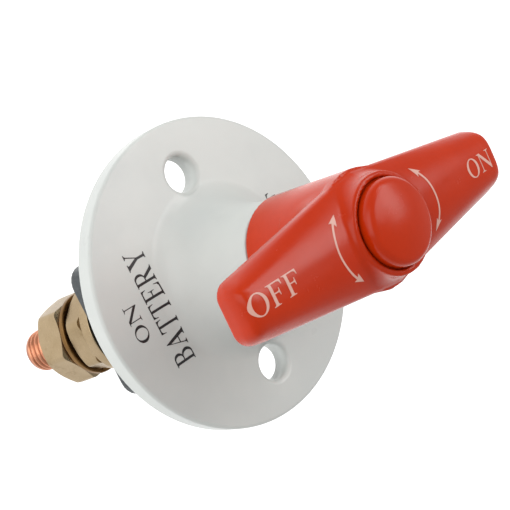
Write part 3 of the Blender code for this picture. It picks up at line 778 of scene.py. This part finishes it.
def stud_piece(label, seat):
    """Rolled thread with a domed, faced tip, and the square head inside the base."""
    row_pitch = THREAD_PITCH / 8
    profile = [(0.0, STUD_TIP - 0.12), (1.1, STUD_TIP - 0.12), (1.5, STUD_TIP), (2.2, STUD_TIP),
               (STUD_FACE_R - 0.05, STUD_TIP - 0.04)]
    profile += [(THREAD_CREST, h - 0.08) for h in np.arange(STUD_TIP, 0.0, -row_pitch)]
    profile += [(SHANK_R, -0.4), (SHANK_R, STUD_SHOULDER), (0.0, STUD_SHOULDER)]

    def shape(angle, r, h):
        if r != THREAD_CREST:
            return r, h
        fall = STUD_TIP - h
        dome = math.inf
        if fall < STUD_DOME:
            dome = STUD_FACE_R + 0.72 * math.sqrt(fall * (2 * STUD_DOME - fall))
        fade = min(1.0, max(0.0, (h - 0.2) / 0.8))
        cut = thread_radius(h, angle) * fade + SHANK_R * (1.0 - fade)
        return min(cut, dome), h

    made = turned("stud_" + label, profile, 60, shape=shape)
    add_stud_head(made, seat)
    made.matrix_world = seat
    return piece(made, COPPER, "switch_body", "terminal_stud_" + label)


def hex_radius(angle, flats, turn, corner):
    """Distance to the side of a hexagon with rounded corners."""
    away = math.remainder(angle - turn, math.pi / 3)
    point = flats / math.sqrt(3.0)
    side = flats / 2 / math.cos(math.pi / 6 - abs(away))
    blunt = point - corner + corner * 0.2 * math.cos(min(abs(away) * 14.0, math.pi))
    return min(side, blunt) if abs(away) < 0.22 else side


NUT_FACE = 0.96
NUT_CORNER = 0.35
COUNTERSINK = ((0.0, 0.9), (0.15, 0.55), (0.62, 0.06), (0.78, 0.0))
CHAMFER_SHARES = (0.12, 0.5, 0.86, 0.97)
SIDE_SHARES = (0.08, 0.25, 0.5, 0.75, 0.92)


def nut_piece(name, node, seat, span, flats, turn, crown=NUT_FACE, fall=30.0):
    """Hexagon nut with a countersunk bore and chamfered faces. The crown is the outer face's
    diameter as a share of the flats, and the fall is its chamfer's angle."""
    low, high = span
    flat_r, crown_r = flats / 2 * NUT_FACE, flats / 2 * crown
    bore = THREAD_CREST - 0.1
    tan_low, tan_fall = math.tan(math.radians(30.0)), math.tan(math.radians(fall))
    rows = [("face", bore + out, high - back) for out, back in COUNTERSINK]
    rows += [("face", (bore + crown_r) / 2, high), ("face", crown_r - 0.12, high),
             ("face", crown_r, high - 0.015)]
    rows += [("crown", share, None) for share in CHAMFER_SHARES]
    rows += [("side", share, None) for share in SIDE_SHARES]
    rows += [("low", share, None) for share in reversed(CHAMFER_SHARES)]
    rows += [("face", flat_r, low + 0.015), ("face", flat_r - 0.12, low)]
    rows += [("face", bore + out, low + back) for out, back in reversed(COUNTERSINK)]

    def shape(angle, r, h):
        kind, share, level = rows[int(r)]
        if kind == "face":
            return share, level
        edge = hex_radius(angle, flats, turn, NUT_CORNER)
        if kind == "crown":
            far = crown_r + (edge - crown_r) * share
            return far, high - (far - crown_r) * tan_fall
        if kind == "low":
            far = flat_r + (edge - flat_r) * share
            return far, low + (far - flat_r) * tan_low
        top = high - (edge - crown_r) * tan_fall
        bottom = low + max(edge - flat_r, 0.0) * tan_low
        inset = 0.02 if share in (SIDE_SHARES[0], SIDE_SHARES[-1]) else 0.0
        return edge - inset, top + (bottom - top) * share

    # Each profile point carries its row's number in place of a radius
    made = turned(name, [(float(i) + 0.5, 0.0) for i in range(len(rows))], 144, ring=True, shape=shape)
    made.matrix_world = seat
    return piece(made, BRASS, "switch_body", node)


def flat_washer_piece(label, seat):
    """Plain ring with softened edges."""
    low, high = WASHER_SPAN
    profile = soften([(WASHER_R, high), (WASHER_R, low), (RING_BORE_R, low), (RING_BORE_R, high)],
                     0.22, 4, closed=True)
    made = turned("flat_washer_" + label, profile, 120, ring=True)
    made.matrix_world = seat
    return piece(made, BRASS, "switch_body", "terminal_washer_" + label)


def lock_washer_piece(label, seat):
    """Split spring ring of rounded section, its two ends a little out of line."""
    low, high = LOCK_SPAN
    section = soften([(LOCK_R, high), (LOCK_R, low), (RING_BORE_R, low), (RING_BORE_R, high)],
                     0.32, 4, closed=True)
    steps = 100
    start, sweep = math.radians(204.0), math.radians(353.0)
    points, faces = [], []
    for i in range(steps + 1):
        angle = start + sweep * i / steps
        lift = 0.14 * (i / steps - 0.5)
        for r, h in section:
            points.append((r * math.cos(angle), r * math.sin(angle), h + lift))
    count = len(section)
    for i in range(steps):
        for j in range(count):
            k = (j + 1) % count
            faces.append(((i + 1) * count + j, (i + 1) * count + k, i * count + k, i * count + j))
    faces.append(tuple(range(count))[::-1])
    faces.append(tuple(range(steps * count, (steps + 1) * count)))
    made = make("lock_ring_" + label, points, faces)
    bm = bmesh.new()
    bm.from_mesh(made.data)
    bmesh.ops.recalc_face_normals(bm, faces=bm.faces)
    bm.to_mesh(made.data)
    bm.free()
    made.data.set_sharp_from_angle(angle=math.radians(40.0))
    made.matrix_world = seat
    return piece(made, BRONZE, "switch_body", "lock_washer_" + label)


for label, spin in (("a", 0.0), ("b", math.pi)):
    seat = seat_matrix(label, spin)
    stud_piece(label, seat)
    flat_washer_piece(label, seat)
    nut_piece("inner_hex_" + label, "inner_nut_" + label, seat, INNER_NUT_SPAN, INNER_NUT_FLATS,
              INNER_NUT_TURN)
    lock_washer_piece(label, seat)
    nut_piece("outer_hex_" + label, "outer_nut_" + label, seat, OUTER_NUT_SPAN, OUTER_NUT_FLATS,
              OUTER_NUT_TURN, crown=0.87, fall=36.0)


# CAD pieces that keep their shape

KEPT = {"terminal_base": DARK, "shaft": STEEL, "shaft_bush": BRASS, "shaft_seal": RUBBER,
        "retaining_clip": SPRING, "thrust_washer": STEEL, "contact_carrier": BROWN,
        "contact_bridge": COPPER_BAR, "handle_washer": STEEL, "handle_screw": STEEL}
KEPT.update({"base_screw_%d" % number: STEEL for number in range(1, 5)})
for node, skin in KEPT.items():
    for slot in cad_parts[node].material_slots:
        slot.material = skin


def spring_piece():
    """A copy of the CAD coil, riding with the lever."""
    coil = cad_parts["contact_spring"]
    made = bpy.data.objects.new("spring_coil", coil.data.copy())
    bpy.context.scene.collection.objects.link(made)
    made.matrix_world = coil.matrix_world.copy()
    piece(made, SPRING, "lever", "contact_spring")
    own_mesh(made)


spring_piece()


# Serif lettering: each glyph is its advance and its loops on a cap height of 1, holes after the
# outline. STEM, HEAD and ARM are the runs of points that several glyphs share.

def bend(cx, cy, rx, ry, start=0.0, end=360.0, points=14):
    """The curved part of a letter."""
    return arc((cx, cy), (rx, ry), start, end, points)


STEM = [(0.0, 0.0), (0.40, 0.0), (0.40, 0.03), (0.31, 0.045), (0.275, 0.10)]
HEAD = [(0.0, 1.0), (0.0, 0.97), (0.085, 0.955), (0.12, 0.90), (0.12, 0.10), (0.085, 0.045), (0.0, 0.03)]
ARM = [(0.275, 0.495), (0.49, 0.495), (0.545, 0.46), (0.56, 0.36), (0.59, 0.36), (0.59, 0.69),
       (0.56, 0.69), (0.545, 0.59), (0.49, 0.55), (0.275, 0.55), (0.275, 0.945), (0.62, 0.945),
       (0.73, 0.90), (0.78, 0.76), (0.81, 0.76), (0.80, 1.0)]
GLYPHS = {
    "O": (1.04, [bend(0.52, 0.5, 0.50, 0.52, points=40)[:-1],
                 bend(0.52, 0.5, 0.335, 0.47, points=36)[:-1]]),
    "F": (0.81, [STEM + ARM + HEAD]),
    "E": (0.88, [[(0.0, 0.0), (0.85, 0.0), (0.88, 0.27), (0.85, 0.27), (0.79, 0.11), (0.66, 0.055),
                  (0.275, 0.055)] + ARM + HEAD]),
    "N": (1.08, [[(0.0, 0.0), (0.32, 0.0), (0.32, 0.03), (0.22, 0.045), (0.18, 0.10), (0.18, 0.84),
                  (0.90, -0.02), (0.95, -0.02), (0.95, 0.90), (0.99, 0.955), (1.08, 0.97), (1.08, 1.0),
                  (0.76, 1.0), (0.76, 0.97), (0.86, 0.955), (0.90, 0.90), (0.90, 0.24), (0.26, 1.0),
                  (0.0, 1.0), (0.0, 0.97), (0.07, 0.955), (0.13, 0.89), (0.13, 0.10), (0.09, 0.045),
                  (0.0, 0.03)]]),
    "T": (0.90, [[(0.27, 0.0), (0.63, 0.0), (0.63, 0.03), (0.55, 0.045), (0.527, 0.10), (0.527, 0.945),
                  (0.72, 0.945), (0.82, 0.88), (0.86, 0.74), (0.89, 0.74), (0.88, 1.0), (0.02, 1.0),
                  (0.01, 0.74), (0.04, 0.74), (0.08, 0.88), (0.18, 0.945), (0.373, 0.945), (0.373, 0.10),
                  (0.35, 0.045), (0.27, 0.03)]]),
    "A": (1.08, [[(0.0, 0.0), (0.32, 0.0), (0.32, 0.03), (0.235, 0.05), (0.215, 0.11), (0.29, 0.31),
                  (0.66, 0.31), (0.75, 0.09), (0.73, 0.045), (0.64, 0.03), (0.64, 0.0), (1.08, 0.0),
                  (1.08, 0.03), (1.0, 0.05), (0.95, 0.11), (0.56, 1.02), (0.53, 1.02), (0.15, 0.11),
                  (0.09, 0.045), (0.0, 0.03)], [(0.31, 0.36), (0.64, 0.36), (0.475, 0.80)]]),
    "R": (1.00, [STEM + [(0.275, 0.47), (0.38, 0.47), (0.72, 0.0), (1.0, 0.0), (1.0, 0.03), (0.93, 0.05),
                         (0.87, 0.10), (0.56, 0.50)] + bend(0.50, 0.75, 0.31, 0.25, -62.0, 90.0) + HEAD,
                 [(0.275, 0.52), (0.42, 0.52)] + bend(0.44, 0.735, 0.21, 0.215, -85.0, 90.0)
                 + [(0.275, 0.95)]]),
    "B": (0.88, [[(0.0, 0.0)] + bend(0.50, 0.275, 0.38, 0.275, -90.0, 72.0)
                 + bend(0.46, 0.765, 0.33, 0.235, -52.0, 90.0) + HEAD,
                 [(0.275, 0.055)] + bend(0.46, 0.28, 0.24, 0.225, -90.0, 90.0) + [(0.275, 0.505)],
                 [(0.275, 0.56)] + bend(0.42, 0.755, 0.20, 0.195, -90.0, 90.0) + [(0.275, 0.95)]]),
    "Y": (1.08, [[(0.36, 0.0), (0.74, 0.0), (0.74, 0.03), (0.65, 0.045), (0.617, 0.10), (0.617, 0.43),
                  (0.92, 0.90), (1.0, 0.96), (1.08, 0.97), (1.08, 1.0), (0.76, 1.0), (0.76, 0.97),
                  (0.84, 0.955), (0.85, 0.90), (0.60, 0.50), (0.36, 0.90), (0.37, 0.955), (0.46, 0.97),
                  (0.46, 1.0), (0.0, 1.0), (0.0, 0.97), (0.08, 0.95), (0.14, 0.88), (0.463, 0.41),
                  (0.463, 0.10), (0.44, 0.045), (0.36, 0.03)]]),
}


def word(text, width, gap=0.12):
    """The loops of a word, with cap height 1, spread or tightened to this width."""
    natural = sum(GLYPHS[c][0] for c in text) + gap * (len(text) - 1)
    stretch = width / natural
    made, along = [], 0.0
    for c in text:
        advance, loops = GLYPHS[c]
        made += [[((along + u) * stretch, v) for u, v in loop] for loop in loops]
        along += advance + gap
    return made


def within(points, loops):
    """Which points lie inside the loops, by the even-odd rule."""
    inside = np.zeros(len(points), bool)
    px, py = points[:, 0], points[:, 1]
    for loop in loops:
        for (ax, ay), (bx, by) in zip(loop, loop[1:] + loop[:1]):
            if ay == by:
                continue
            crosses = (ay > py) != (by > py)
            inside ^= crosses & (px < (bx - ax) * (py - ay) / (by - ay) + ax)
    return inside


def divided(loop, step):
    """The loop with points added so that no side is much longer than the step."""
    line = []
    for (ax, ay), (bx, by) in zip(loop, loop[1:] + loop[:1]):
        parts = max(1, int(math.hypot(bx - ax, by - ay) / step))
        line += [(ax + (bx - ax) * i / parts, ay + (by - ay) * i / parts) for i in range(parts)]
    return line


def filled(loops, step):
    """Points and triangles, all turned the same way, that fill the loops."""
    loops = [divided(loop, step) for loop in loops]
    edges, first = [], 0
    for line in loops:
        edges += [(first + i, first + (i + 1) % len(line)) for i in range(len(line))]
        first += len(line)
    border = np.array([point for line in loops for point in line])
    low, high = border.min(0), border.max(0)
    grid_x, grid_y = np.meshgrid(np.arange(low[0], high[0], step), np.arange(low[1], high[1], step))
    inner = np.stack([grid_x.ravel(), grid_y.ravel()], 1)
    inner = inner[within(inner, loops)]
    if len(inner):
        gaps = np.linalg.norm(inner[:, None] - border[None], axis=2).min(1)
        inner = inner[gaps > step * 0.4]
    flat = [Vector(point) for point in np.concatenate([border, inner])]
    verts, _, tris, *_ = delaunay_2d_cdt(flat, edges, [], 1, 1e-5)
    spots = np.array([tuple(v) for v in verts])
    middles = np.array([spots[list(t)].mean(0) for t in tris])
    tris = [t for t, keep in zip(tris, within(middles, loops)) if keep]
    used = sorted({v for t in tris for v in t})
    new = {v: i for i, v in enumerate(used)}
    spots = spots[used]
    tris = [[new[v] for v in t] for t in tris]
    areas = [np.cross(spots[b] - spots[a], spots[c] - spots[a]) for a, b, c in tris]
    return spots, [t if area > 0 else t[::-1] for t, area in zip(tris, areas)]


def ink(name, loops, surface, skin, body, turn=None, step=0.45, proud=0.06, sunk=0.12):
    """A thin printed solid whose outline is the loops and which follows the surface under it."""
    spots, tris = filled(loops, step)
    count = len(spots)
    seats, outward = surface(spots)
    points = np.concatenate([seats + outward * proud, seats - outward * sunk])
    faces, alone = [], {}
    for t in tris:
        faces.append(t)
        faces.append([v + count for v in t[::-1]])
        for a, b in zip(t, t[1:] + t[:1]):
            alone[(a, b)] = (b, a) not in alone
            if (b, a) in alone:
                alone[(b, a)] = False
    faces += [[a, a + count, b + count, b] for (a, b), border in alone.items() if border]
    if turn is not None:
        points = points @ turn.T
    return piece(make(name, points, faces), skin, body)


def rest_on(field, spots, inside, clear):
    """The points of a surface over the given spots, and the way out of the surface there."""
    high = np.full(len(spots), clear)
    low = np.full(len(spots), inside)
    for _ in range(26):
        middle = (high + low) / 2
        outside = field(np.column_stack([spots, middle])) > 0.0
        high = np.where(outside, middle, high)
        low = np.where(outside, low, middle)
    seats = np.column_stack([spots, high])
    return seats, slope(field, seats)


def lever_top(spots):
    return rest_on(handle_field, spots, LEVER_LOW + 0.5, COLLAR_TOP + 1.0)


def plate_top(spots):
    """On the flange a letter may reach the foot of the bell."""
    return rest_on(housing_field, spots, PLATE_TOP - 0.5, PLATE_TOP + 6.0)


def on_lever(text, width, cap, start_y, low_x):
    """Letters read towards -Y with their tops to +X."""
    loops = word(text, width / cap)
    return [[(low_x + v * cap, start_y - u * cap) for u, v in loop][::-1] for loop in loops]


def on_plate(text, width, cap, start_x, low_y):
    """Letters read towards +X with their tops to +Y."""
    loops = word(text, width / cap)
    return [[(start_x + u * cap, low_y + v * cap) for u, v in loop] for loop in loops]


def lever_mark(name, loops, **fineness):
    return ink(name, loops, lever_top, PALE_INK, "lever", TURN, **fineness)


def plate_mark(name, loops, **fineness):
    return ink(name, loops, plate_top, BLACK_INK, "switch_body", **fineness)


def swing_arrow(centre_y, radius, middle, half_sweep, line=0.42, head=2.1, head_half=0.80):
    """Arc about a point on the lever's centre line, with a head at both ends. Angles in degrees."""
    middle, half_sweep = math.radians(middle), math.radians(half_sweep)
    parts = 24
    notch = head * 0.14 / radius
    reach = half_sweep - head / radius

    def at(r, angle):
        return (r * math.cos(middle + angle), centre_y + r * math.sin(middle + angle))

    turns = [-reach + 2 * reach * i / parts for i in range(parts + 1)]
    outer = [at(radius + line / 2, angle) for angle in turns]
    inner = [at(radius - line / 2, -angle) for angle in turns]
    near_tip = [at(radius + head_half, reach - notch), at(radius, half_sweep),
                at(radius - head_half, reach - notch)]
    far_tip = [at(radius - head_half, notch - reach), at(radius, -half_sweep),
               at(radius + head_half, notch - reach)]
    return [outer + near_tip + inner + far_tip]


lever_mark("mark_off", on_lever("OFF", 12.4, 3.95, 38.0, -1.35), step=0.28, proud=0.08)
lever_mark("mark_on", on_lever("ON", 8.5, 3.90, -27.3, -2.0))
lever_mark("arrow_off_side", swing_arrow(7.0, 7.6, 90.0, 61.0))
lever_mark("arrow_on_side", swing_arrow(-6.0, 9.4, -90.0, 45.5))
plate_mark("plate_word", on_plate("BATTERY", 26.3, 5.1, -12.1, 18.4), step=0.8, proud=0.04)
plate_mark("plate_on", on_plate("ON", 8.5, 3.2, -3.7, 26.0), step=1.5, proud=0.03)
plate_mark("plate_off", on_plate("OFF", 14.6, 4.4, -4.4, -23.2), step=1.5, proud=0.03)


# Floor, light and camera, in metres, watts and degrees

SWITCH_MIDDLE = (0.0, 0.0, 0.04)
FLOOR_Z = -0.13
FLOOR_HALF = 9.0
FLOOR_GLOW = 0.48
WORLD_GLOW = 0.48
CAMERA_LENS = 73.86
CAMERA_PLACE = (0.03294, 0.13977, 0.18616)
CAMERA_TURN = (13.143, -38.075, -123.466)


def add_floor():
    mesh = bpy.data.meshes.new("floor")
    mesh.from_pydata([(-FLOOR_HALF, -FLOOR_HALF, FLOOR_Z), (FLOOR_HALF, -FLOOR_HALF, FLOOR_Z),
                      (FLOOR_HALF, FLOOR_HALF, FLOOR_Z), (-FLOOR_HALF, FLOOR_HALF, FLOOR_Z)],
                     [], [(0, 1, 2, 3)])
    mesh.materials.append(floor_look())
    made = bpy.data.objects.new("floor", mesh)
    bpy.context.scene.collection.objects.link(made)


def add_world():
    world = bpy.data.worlds.new("studio")
    world.use_nodes = True
    sky = world.node_tree.nodes["Background"]
    sky.inputs["Color"].default_value = (1.0, 1.0, 1.0, 1.0)
    sky.inputs["Strength"].default_value = WORLD_GLOW
    bpy.context.scene.world = world


def softbox(name, place, size, power, aim):
    """A rectangular lamp that faces the aim point."""
    lamp = bpy.data.lights.new(name, "AREA")
    lamp.shape = "RECTANGLE"
    lamp.size, lamp.size_y = size
    lamp.energy = power
    made = bpy.data.objects.new(name, lamp)
    bpy.context.scene.collection.objects.link(made)
    made.location = place
    away = Vector(place) - Vector(aim)
    made.rotation_euler = away.to_track_quat("Z", "Y").to_euler()


def add_camera():
    """The photo's view, from above the lever's OFF end."""
    data = bpy.data.cameras.new("camera")
    data.lens = CAMERA_LENS
    data.sensor_width = 36.0
    data.clip_start = 0.01
    made = bpy.data.objects.new("camera", data)
    bpy.context.scene.collection.objects.link(made)
    made.location = CAMERA_PLACE
    made.rotation_euler = [math.radians(angle) for angle in CAMERA_TURN]
    bpy.context.scene.camera = made


add_floor()
add_world()
softbox("key_overhead", (0.10, -0.20, 0.52), (0.20, 0.18), 0.35, SWITCH_MIDDLE)
softbox("strip_beyond", (0.32, -0.39, 0.50), (0.76, 0.23), 2.5, (0.32, -0.39, 0.0))
softbox("fill_front", (0.30, 0.62, 0.30), (0.70, 0.60), 2.6, SWITCH_MIDDLE)
add_camera()
bpy.context.scene.view_settings.view_transform = "Standard"
